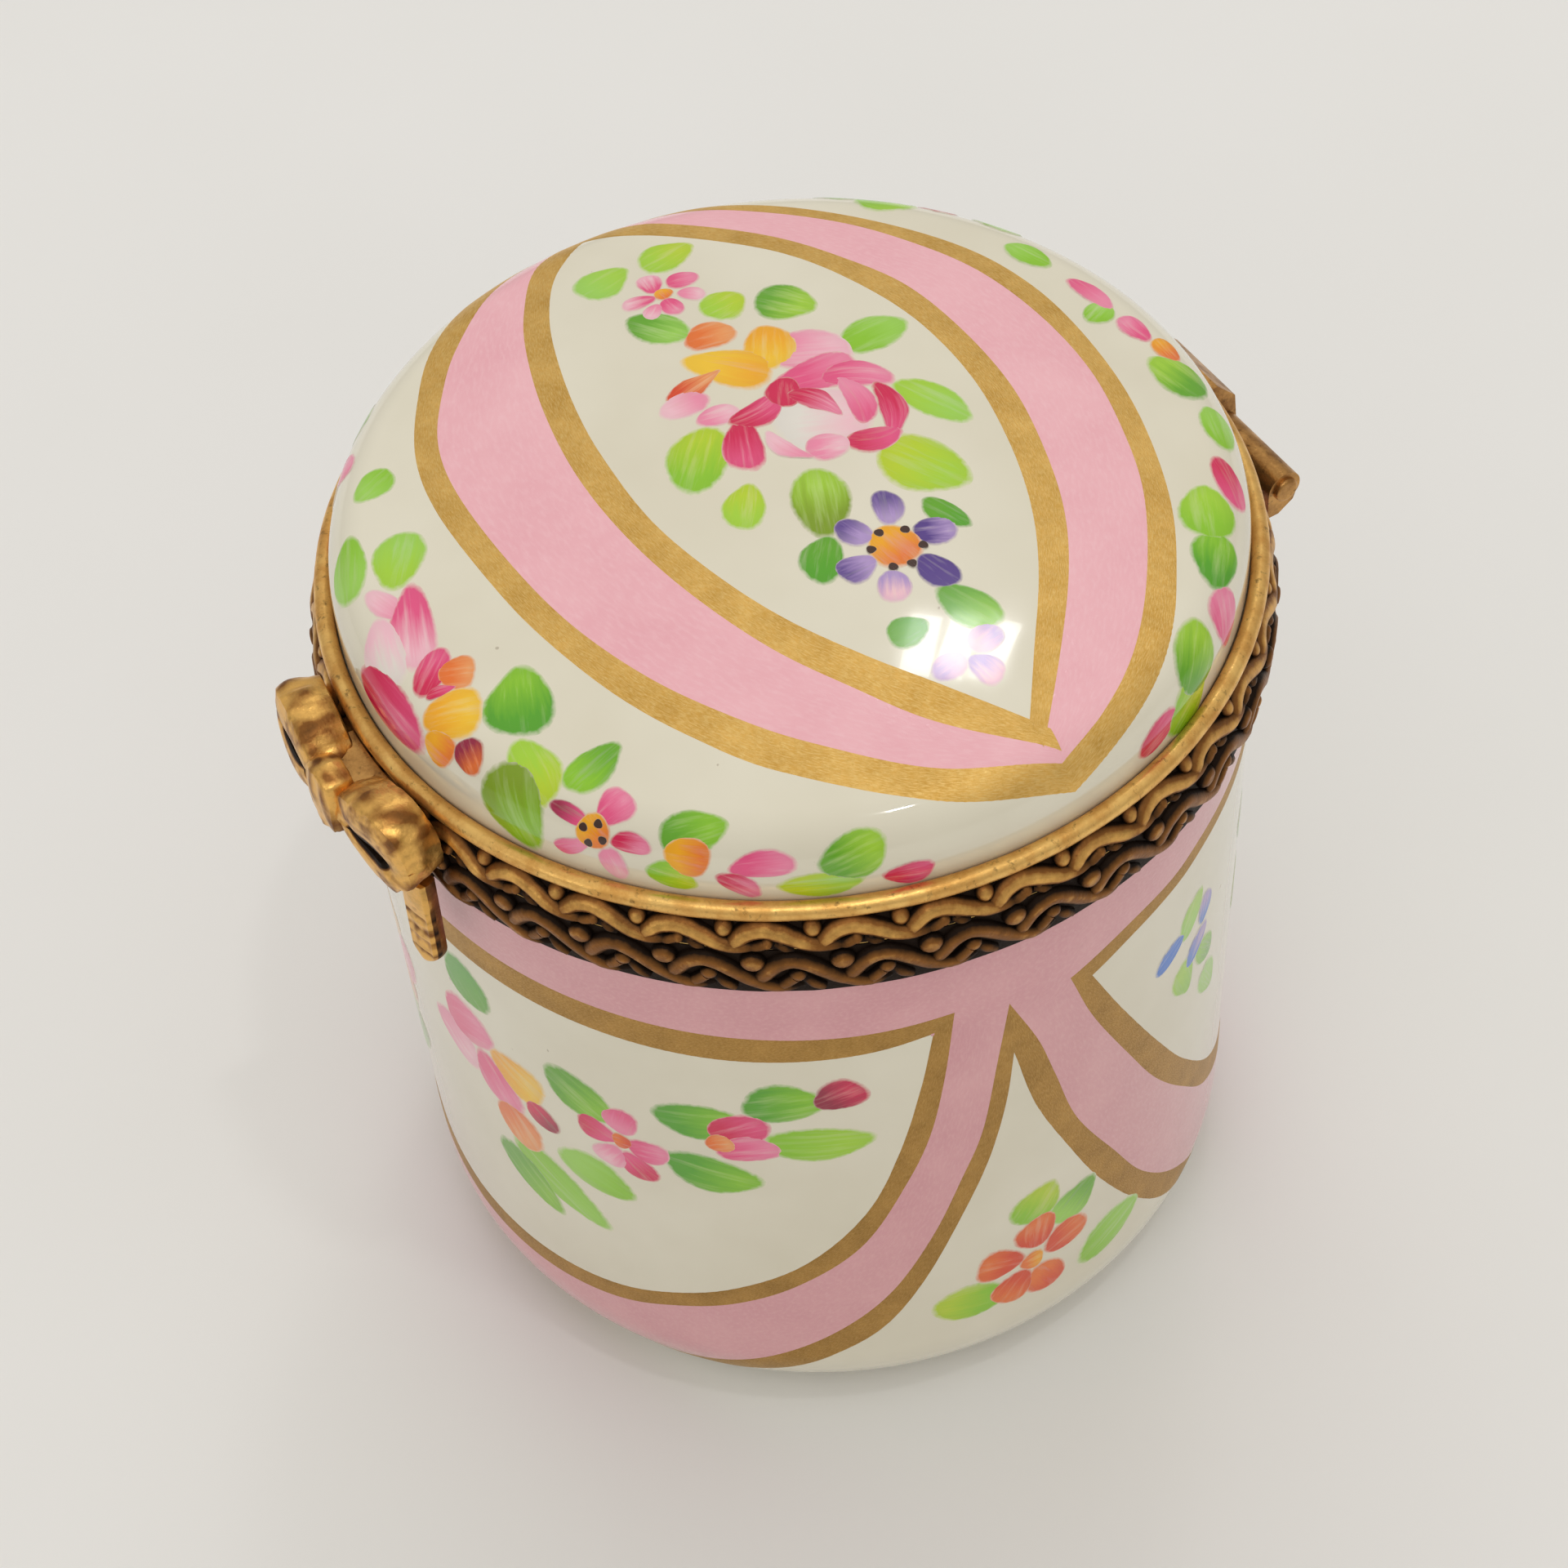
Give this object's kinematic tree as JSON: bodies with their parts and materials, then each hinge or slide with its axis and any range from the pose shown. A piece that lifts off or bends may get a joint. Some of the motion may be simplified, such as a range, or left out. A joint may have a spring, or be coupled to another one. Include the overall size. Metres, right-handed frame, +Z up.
{
  "type": "porcelain hat box",
  "caption": "Small round glazed porcelain hat box with a low domed lid, hand-painted ribbons and flowers, hinged antiqued brass rims and a ribbon bow clasp.",
  "frame": {"origin": "centre of the foot on the box's upright axis, on the surface that it stands on", "axes": "+Z up along the axis of the cup; +Y towards the hinge, so the bow clasp faces -Y; +X to the right as seen from the clasp"},
  "size_m": [0.05, 0.054, 0.0526],
  "materials": {
    "painted_porcelain": "glossy glaze over hand-painted enamel and gilding",
    "antique_brass": "antiqued, dark in the recesses and rubbed bright on the high relief",
    "clasp_brass": "cast and hand-polished, slightly antiqued in the folds",
    "cement": "matt bedding cement"
  },
  "bodies": {
    "base": {"cup": "painted_porcelain", "cup_cement": "cement", "lower_bezel": "antique_brass", "lower_gallery": "antique_brass", "lower_hinge_leaves": "antique_brass", "hinge_knuckle_left": "antique_brass", "hinge_knuckle_right": "antique_brass", "hinge_pin": "antique_brass", "catch_bead": "antique_brass"},
    "lid": {"lid_shell": "painted_porcelain", "lid_cement": "cement", "upper_bezel": "antique_brass", "upper_gallery": "antique_brass", "rim_wire": "antique_brass", "upper_hinge_leaf": "antique_brass", "hinge_knuckle_centre": "antique_brass", "clasp_block": "antique_brass", "clasp_tongue": "antique_brass", "clasp_bow": "clasp_brass"}
  },
  "joints": [
    {"name": "lid_hinge", "type": "hinge", "parent": "base", "child": "lid", "pos_m": [0, 0.02532, 0.0426], "axis": [-1, 0, 0], "range_deg": [0, 100]}
  ]
}
